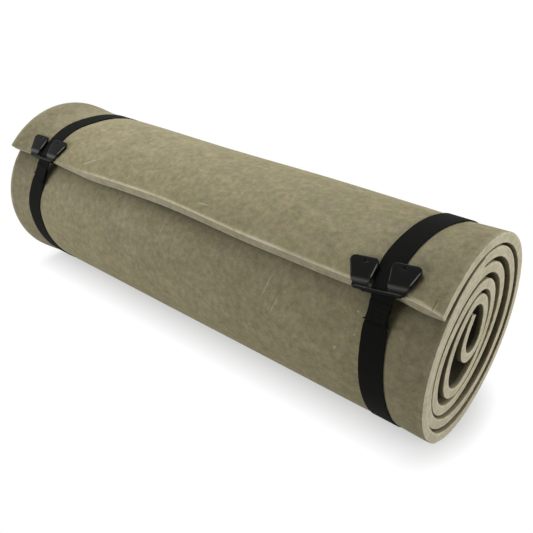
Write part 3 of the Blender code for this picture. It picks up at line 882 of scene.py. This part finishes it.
def build_stitches(key, finish):
    """Rows of lock stitch across the doubled tape: height = outer or inner face, with soft corners
    from tanh of a sine of the place across."""
    half = 0.5 * STITCH * STITCH_COUNT
    place = np.linspace(-half, half, STITCH_POINTS)
    outer = 0.5 * STRAP_THICKNESS + THREAD_PROUD * THREAD
    inner = -1.5 * STRAP_THICKNESS - STRAP_CLEARANCE - THREAD_PROUD * THREAD
    swing = np.tanh(STITCH_SQUARENESS * np.sin(math.pi * (place / STITCH + 0.5 * STITCH_COUNT)))
    height = 0.5 * (outer + inner) + 0.5 * (outer - inner) * swing
    for row, past_bar in STITCH_ROWS.items():
        at = length_round() + past_bar
        points, across, outward, _ = strap_stations(key, np.array([at - 0.001, at, at + 0.001]))
        path = points[1] + across[1] * place[:, None] + outward[1] * height[:, None]
        sides = np.tile(np.linspace(0.0, 1.0, THREAD_SIDES), len(path) + 2)
        run = np.repeat(with_ends(arc_lengths(path)), THREAD_SIDES)
        thread = mesh_object("%s_thread_%s" % (key, row), *tube(path, 0.5 * THREAD, THREAD_SIDES),
                             np.column_stack([sides, run]))
        thread.data.materials.append(finish)
        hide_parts("%s_stitch_%s" % (key, row))
        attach(thread, key + "_strap_body")


FRAY_SEEDS = {"near": 7, "far": 11}
FRAY_COUNT = 16
FRAY_RADIUS = 0.00022
FRAY_SIDES = 6
TAG_THICKER = 2.2
LOOSE_THICKER = 1.3

# Thicker tags of torn weft at the tape's two edges: which edge, and how far out

TAGS = ((-1.0, 0.0034), (-1.0, 0.0022), (1.0, 0.0024), (1.0, 0.0015))


def build_fray(key, finish):
    """The tape's cut end: a row of short warp ends, each with a curl of its own, four thicker tags at the
    edges, and one long loose end beside the sewing."""
    chance = np.random.default_rng(FRAY_SEEDS[key])
    at = length_round() + OVERLAP_TO
    points, across, outward, along = strap_stations(key, np.array([at - 0.002, at - 0.0004, at]))
    end, across, outward, along = points[1], across[1], outward[1], along[1]
    width = float(strap_width(np.array([at]))[0])
    t = np.linspace(0.0, 1.0, 9)[:, None]
    shapes = []
    for place in np.linspace(-0.46, 0.46, FRAY_COUNT) * width:
        length = 0.0012 + 0.0028 * chance.random()
        sideways = 0.0020 * (chance.random() - 0.5)
        lift = 0.0005 * chance.random()
        warp = end + across * place + along * (length * t)
        warp = warp + across * (sideways * t ** 2) + outward * (lift * np.sin(2.0 * t))
        shapes.append(tube(warp, FRAY_RADIUS, FRAY_SIDES))
    for sign, reach in TAGS:
        root = end + across * sign * 0.47 * width - along * 0.0012 * chance.random()
        tag = root + across * sign * reach * t + along * (0.0014 * t ** 2)
        tag = tag + outward * (0.0004 * np.sin(3.0 * t))
        shapes.append(tube(tag, TAG_THICKER * FRAY_RADIUS, FRAY_SIDES))
    loose = end - across * 0.42 * width - along * 0.004 + along * (0.0085 * t)
    loose = loose - across * (0.0026 * t ** 2) + outward * (0.0009 + 0.0012 * np.sin(3.0 * t))
    shapes.append(tube(loose, LOOSE_THICKER * FRAY_RADIUS, FRAY_SIDES))
    fray = mesh_object(key + "_frayed_end", *joined(shapes))
    fray.data.materials.append(finish)
    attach(fray, key + "_strap_body")


# The moulded clips, each in its own frame: X along the bars, Y up the flap, Z away from it

CLIP_OUT = direction(CLIP_ANGLE)
CLIP_UP = -left_of(CLIP_OUT)
BAR_SIDES = 24
WING_TOP_RINGS = 22
WING_EDGE_RINGS = 6
VOXEL = 0.00030

# The painted highlight inside a wing's edge: how far in, how wide on the near edge and on the other, how
# faint on the other, and where up the wing it fades in and out

HIGHLIGHT_INSET = 0.0009
HIGHLIGHT_WIDTH = (0.00045, 0.00035)
OTHER_EDGE_HIGHLIGHT = 0.25
HIGHLIGHT_FADES_IN = (0.0080, 0.0110)
HIGHLIGHT_FADES_OUT = (0.0190, 0.0235)

# The painted highlight across a wing's foot: how far up, how wide, how strong

FOOT_BAND = (0.0050, 0.0016, 0.30)


def wing_levels():
    """How far a wing's two faces stand out from the rear bar."""
    strap_face = ROLL_RADIUS + STRAP_CLEARANCE + STRAP_THICKNESS + CLIP_CLEARANCE
    under = strap_face - float(rear_bar_centre() @ CLIP_OUT)
    return under, under + WING_THICKNESS


def wing_ring(corners, inset, per_corner=22, per_side=6):
    """Outline of the wing's plan, moved in by the inset: arcs round the same centres with less radius."""
    corners = np.array(corners)
    sides = unit(np.roll(corners, -1, axis=0) - corners)
    normals = -left_of(sides)
    arcs = []
    for i, corner in enumerate(corners):
        before, after = normals[i - 1], normals[i]
        centre = corner - WING_CORNER * (before + after) / (1.0 + before @ after)
        first = math.degrees(math.atan2(before[1], before[0]))
        turn = math.degrees(math.acos(before @ after))
        arcs.append(centre + (WING_CORNER - inset) * direction(first + np.linspace(0.0, turn, per_corner)))
    ring = []
    for i, arc in enumerate(arcs):
        following = arcs[(i + 1) % len(arcs)][0]
        share = np.linspace(0.0, 1.0, per_side + 2)[1:-1, None]
        ring += [arc, arc[-1] + share * (following - arc[-1])]
    return np.vstack(ring)


def wing_shape(sign):
    """A plate that flares from foot to top, built from rings: out over its crowned and dimpled top, round
    the edge and back underneath. Its foot rolls over in a quarter ellipse."""
    under, top = wing_levels()
    foot, crest = WING_FROM_BAR - FOOT_OVERLAP, WING_FROM_BAR + WING_HEIGHT
    inner_foot, inner_top = 0.5 * WING_FOOT_GAP, 0.5 * WING_GAP
    corners = [(inner_foot, foot), (inner_foot + WING_FOOT_WIDTH, foot),
               (inner_top + WING_WIDTH, crest), (inner_top, crest)]
    full, core = wing_ring(corners, 0.0), wing_ring(corners, WING_EDGE)
    middle = core.mean(axis=0)
    shares = np.linspace(0.0, 1.0, WING_TOP_RINGS)
    turns = np.radians(np.linspace(90.0, 0.0, WING_EDGE_RINGS))
    rings = [(middle + (core - middle) * share, top + WING_CROWN * (1.0 - share ** 2)) for share in shares]
    for face, side, used in ((top, -WING_EDGE, turns[1:]), (under, WING_EDGE, turns[::-1])):
        rings += [(core + (full - core) * math.cos(a), face + side * (1.0 - math.sin(a))) for a in used]
    rings += [(middle + (core - middle) * share, under) for share in [*shares[::-1][1::3], 0.0]]
    plan = np.array([ring for ring, _ in rings])
    z = np.repeat(np.array([level for _, level in rings])[:, None], plan.shape[1], axis=1)
    upper_face = np.arange(len(rings))[:, None] < WING_TOP_RINGS
    dimple = np.hypot(plan[..., 0] - DIMPLE_PLACE, plan[..., 1] - (crest - DIMPLE_FROM_TOP))
    z = z - upper_face * DIMPLE_DEPTH * np.exp(-(dimple / DIMPLE_RADIUS) ** 4)
    from_foot = np.clip((plan[..., 1] - foot) / LIP, 0.0, 1.0)
    z = under + (z - under) * (LIP_LEFT + (1.0 - LIP_LEFT) * np.sqrt(1.0 - (1.0 - from_foot) ** 2))
    points = np.dstack([plan * np.array([sign, 1.0]), z]).reshape(-1, 3)
    return points, loop_faces(len(rings), plan.shape[1])


def strut_shape(start, end, width, thickness, x):
    """Flat strut between two points of the clip's side view: a rounded rectangle carried straight."""
    path = straight((x, *start), (x, *end), 8)
    side = np.tile([1.0, 0.0, 0.0], (len(path), 1))
    section = round_box(width, thickness, 0.45 * thickness, 3)
    return carried(path, side, np.cross(side, tangents(path)), section, np.ones((len(path), 2)))


def clip_shapes():
    """Two bars, two webs, two necks and two wings."""
    lean_out = direction(FRONT_BAR_LEAN)
    front = FRONT_BAR_AWAY * np.array([lean_out @ CLIP_UP, lean_out @ CLIP_OUT])
    root = (WING_FROM_BAR + LIP, 0.5 * sum(wing_levels()))
    shapes = []
    for length, place in ((REAR_BAR_LENGTH, (0.0, 0.0)), (FRONT_BAR_LENGTH, front)):
        line = straight((-0.5 * length, *place), (0.5 * length, *place))
        shapes.append(tube(line, BAR_RADIUS, BAR_SIDES))
    for sign in (-1.0, 1.0):
        neck_x = sign * 0.5 * (WING_FOOT_GAP + WING_FOOT_WIDTH)
        shapes.append(strut_shape((0.0, 0.0), front, WEB, WEB_HEIGHT, sign * WEB_PLACE))
        shapes.append(strut_shape(front, root, WING_FOOT_WIDTH - 2.0 * NECK_INSET, NECK, neck_x))
        shapes.append(wing_shape(sign))
    return shapes


def fused(clip):
    """One skin round the clip's overlapping shapes, by a fine remesh, eased a little as a moulding is."""
    fuse = clip.modifiers.new("Fuse", "REMESH")
    fuse.mode = "VOXEL"
    fuse.voxel_size = VOXEL
    fuse.use_smooth_shade = True
    ease = clip.modifiers.new("Ease", "SMOOTH")
    ease.factor = 0.5
    ease.iterations = 4
    depsgraph = bpy.context.evaluated_depsgraph_get()
    mesh = bpy.data.meshes.new_from_object(clip.evaluated_get(depsgraph))
    clip.modifiers.clear()
    clip.data = mesh
    mesh.shade_smooth()
    return mesh


def clip_highlight(x, y, z):
    """How much painted highlight a clip has, in its own frame: a pale line inside each wing's side edges,
    mostly on the edge towards the near end, and a band across each foot."""
    under, _ = wing_levels()
    up_wing = np.clip((y - WING_FROM_BAR) / WING_HEIGHT, 0.0, 1.0)
    inner = 0.5 * (WING_FOOT_GAP + (WING_GAP - WING_FOOT_GAP) * up_wing)
    outer = inner + WING_FOOT_WIDTH + (WING_WIDTH - WING_FOOT_WIDTH) * up_wing
    from_inner, from_outer = np.abs(x) - inner, outer - np.abs(x)
    near_edge = np.where(x > 0.0, from_outer, from_inner)
    other_edge = np.where(x > 0.0, from_inner, from_outer)
    line = np.exp(-((near_edge - HIGHLIGHT_INSET) / HIGHLIGHT_WIDTH[0]) ** 2)
    line = line + OTHER_EDGE_HIGHLIGHT * np.exp(-((other_edge - HIGHLIGHT_INSET) / HIGHLIGHT_WIDTH[1]) ** 2)
    line = line * (z > under + 0.3 * WING_THICKNESS)
    line = line * smooth_step(y, *HIGHLIGHT_FADES_IN) * (1.0 - smooth_step(y, *HIGHLIGHT_FADES_OUT))
    place, reach, strength = FOOT_BAND
    band = strength * np.exp(-((y - place) / reach) ** 2) * (z > under)
    return np.clip(line + band, 0.0, 1.0)


def build_clip(key, finish):
    """The clip's shapes, set on the roll with a lean of their own and fused into one moulding."""
    middle, lean = CLIP_SET[key]
    cos, sin = math.cos(math.radians(lean)), math.sin(math.radians(lean))
    points, faces = joined(clip_shapes())
    x = points[:, 0] * cos - points[:, 1] * sin
    y = points[:, 0] * sin + points[:, 1] * cos
    yz = rear_bar_centre() + ROLL_AXIS + y[:, None] * CLIP_UP + points[:, 2:] * CLIP_OUT
    clip = mesh_object(key + "_winged_clip", np.column_stack([middle + x, yz]), faces)
    mesh = fused(clip)
    # back into the clip's own frame, for the painted highlight
    shown = np.empty(len(mesh.vertices) * 3)
    mesh.vertices.foreach_get("co", shown)
    shown = shown.reshape(-1, 3)
    away = shown[:, 1:] - rear_bar_centre() - ROLL_AXIS
    x, y, z = shown[:, 0] - middle, away @ CLIP_UP, away @ CLIP_OUT
    give_values(mesh, "painted_highlight", clip_highlight(x * cos + y * sin, y * cos - x * sin, z))
    mesh.materials.clear()
    mesh.materials.append(finish)
    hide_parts(key + "_clip")
    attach(clip, key + "_clip_body")


# Floor, light and camera

WHITE = (1.0, 1.0, 1.0, 1.0)
FLOOR_HALF = 12.0
FLOOR_GLOW = 0.47
FLOOR_SEEN = (0.36, 0.36, 0.36)
FLOOR_BOUNCE = (0.45, 0.45, 0.45)
SHADOW_FADES = (0.036, 0.090)
SHADOW_ENDS = 0.280
RAMP_SPREAD = 5.0
DOME_LEVEL = 0.05

# Soft boxes: name, place, target, width and height, watts

LAMPS = (
    ("high_soft_box", (-0.38, 0.30, 1.15), (0.0, 0.0, 0.1), (0.55, 0.55), 10.6),
    ("left_soft_box", (-1.10, -1.40, 0.30), (0.0, 0.0, 0.1), (1.4, 0.5), 18.8),
    ("end_soft_box", (1.40, 0.45, 0.40), (0.3, 0.0, 0.1), (0.6, 0.6), 12.5),
)

# The photograph's camera, as fitted to the roll's outline

VIEW_AZIMUTH = 39.62
VIEW_ELEVATION = 30.49
VIEW_PLACE = (0.4445, -0.4727, 0.4469)
FOCAL_PIXELS = 628.6
FRAME_PIXELS = 533.0


def seen_rays(tree):
    """1 for rays from the camera, by way of a gloss or through something clear too, and 0 for the rest."""
    path = tree.nodes.new("ShaderNodeLightPath")
    seen = path.outputs["Is Camera Ray"]
    for other in ("Is Glossy Ray", "Is Transmission Ray"):
        most = tree.nodes.new("ShaderNodeMath")
        most.operation = "MAXIMUM"
        tree.links.new(seen, most.inputs[0])
        tree.links.new(path.outputs[other], most.inputs[1])
        seen = most.outputs[0]
    return seen


def build_floor():
    """A pale floor. To the camera it glows a little beside the light that it catches, which keeps the
    roll's shadow, and away from the roll's line of rest it fades to plain white."""
    corners = [(a * FLOOR_HALF, b * FLOOR_HALF, 0.0) for a, b in ((-1, -1), (1, -1), (1, 1), (-1, 1))]
    floor = mesh_object("floor", corners, [(0, 1, 2, 3)], closed=False)
    pale = Finish("pale_floor")
    seen = pale.value(seen_rays(pale.tree))
    pale.set(Base_Color=pale.mix(seen, FLOOR_BOUNCE, FLOOR_SEEN), Roughness=0.9, Specular_IOR_Level=0.05)
    # past the roll's ends the distance counts double; the ramp takes places up to 1, so it is spread
    x, y = pale.axes("Object")
    past_end = (x.math("ABSOLUTE") - SHADOW_ENDS).math("MAXIMUM", 0.0) * 2.0
    away = (past_end * past_end + y * y).math("SQRT")
    fades_from, fades_to = (RAMP_SPREAD * distance for distance in SHADOW_FADES)
    beyond = pale.ramp(away * RAMP_SPREAD, (fades_from, 0.0), (fades_to, 1.0))
    white = pale.node("ShaderNodeEmission", {}, WHITE, 1.0)
    glow = pale.node("ShaderNodeEmission", {}, WHITE, FLOOR_GLOW)
    both = pale.node("ShaderNodeAddShader", {}, pale.principled.outputs[0], glow.outputs[0])
    shown = pale.node("ShaderNodeMixShader", {}, beyond, both.outputs[0], white.outputs[0])
    mixed = pale.node("ShaderNodeMixShader", {}, seen, pale.principled.outputs[0], shown.outputs[0])
    pale.feed(pale.tree.nodes["Material Output"].inputs["Surface"], mixed.outputs[0])
    floor.data.materials.append(pale.material)


def build_world():
    """An even pale dome for light, white where the camera or a reflection sees it."""
    world = bpy.data.worlds.new("studio")
    world.use_nodes = True
    tree = world.node_tree
    background = tree.nodes["Background"]
    background.inputs["Color"].default_value = WHITE
    pick = tree.nodes.new("ShaderNodeMix")
    pick.inputs[2].default_value = DOME_LEVEL
    pick.inputs[3].default_value = 1.0
    tree.links.new(seen_rays(tree), pick.inputs[0])
    tree.links.new(pick.outputs[0], background.inputs["Strength"])
    bpy.context.scene.world = world


def aimed(data, place, look):
    """A lamp or a camera, set in its place and turned to look along a direction."""
    obj = bpy.data.objects.new(data.name, data)
    obj.location = place
    obj.rotation_euler = look.to_track_quat("-Z", "Y").to_euler()
    bpy.context.scene.collection.objects.link(obj)
    return obj


def area_light(name, place, target, size, watts):
    lamp = bpy.data.lights.new(name, "AREA")
    lamp.shape = "RECTANGLE"
    lamp.size, lamp.size_y = size
    lamp.energy = watts
    aimed(lamp, place, Vector(target) - Vector(place))


def build_camera():
    """The photograph's camera: where it stood, how it was turned and how narrow its view was."""
    camera = bpy.data.cameras.new("photo_view")
    camera.sensor_width = 36.0
    camera.lens = camera.sensor_width * FOCAL_PIXELS / FRAME_PIXELS
    camera.clip_start = 0.01
    azimuth, elevation = math.radians(VIEW_AZIMUTH), math.radians(VIEW_ELEVATION)
    level = math.cos(elevation)
    look = Vector((-math.sin(azimuth) * level, math.cos(azimuth) * level, -math.sin(elevation)))
    bpy.context.scene.camera = aimed(camera, VIEW_PLACE, look)


def main():
    bpy.context.scene.view_settings.view_transform = "Standard"
    build_camera()
    build_floor()
    build_world()
    for lamp in LAMPS:
        area_light(*lamp)
    build_mat()
    elastic = elastic_finish()
    plastic = plastic_finish()
    thread = thread_finish()
    for key in STRAP_WANDER:
        build_strap(key, elastic)
        build_stitches(key, thread)
        build_fray(key, elastic)
        build_clip(key, plastic)


main()
